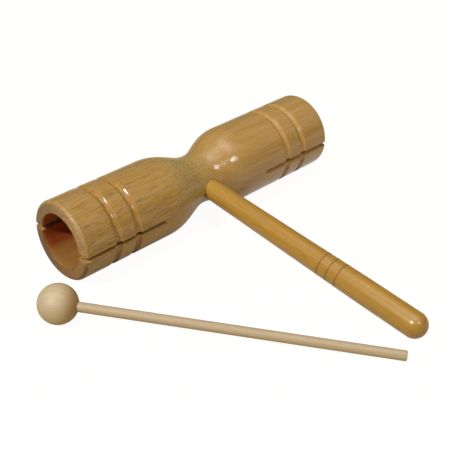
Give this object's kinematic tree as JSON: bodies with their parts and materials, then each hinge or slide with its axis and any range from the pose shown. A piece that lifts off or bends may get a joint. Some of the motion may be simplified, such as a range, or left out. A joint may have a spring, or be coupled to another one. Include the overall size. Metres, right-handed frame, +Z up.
{
  "type": "tubular woodblock",
  "caption": "Turned wooden tube block with slotted chambers at both ends, a drawn-in waist and a tapered handle, with its ball-headed wooden beater lying in front.",
  "frame": {"origin": "on the table, under the middle of the bounding box of the block, handle and beater together", "axes": "+X along the tone block from its low-note end to its high-note end, -Y the way the handle points, +Z up from the table"},
  "size_m": [0.2356, 0.2058, 0.0485],
  "materials": {
    "block_wood": "glossy clear varnish over golden brown wood",
    "handle_wood": "glossy clear varnish over honey yellow wood",
    "head_wood": "sanded, unfinished pale wood",
    "stick_wood": "sanded, unfinished pale wood"
  },
  "bodies": {
    "woodblock": {"tone_block": "block_wood", "handle": "handle_wood"},
    "beater": {"beater_head": "head_wood", "beater_stick": "stick_wood"}
  },
  "joints": [
    {"name": "beater_lift", "type": "slide", "parent": "woodblock", "child": "beater", "axis": [0, 0, 1], "range_m": [0, 0.12]}
  ]
}
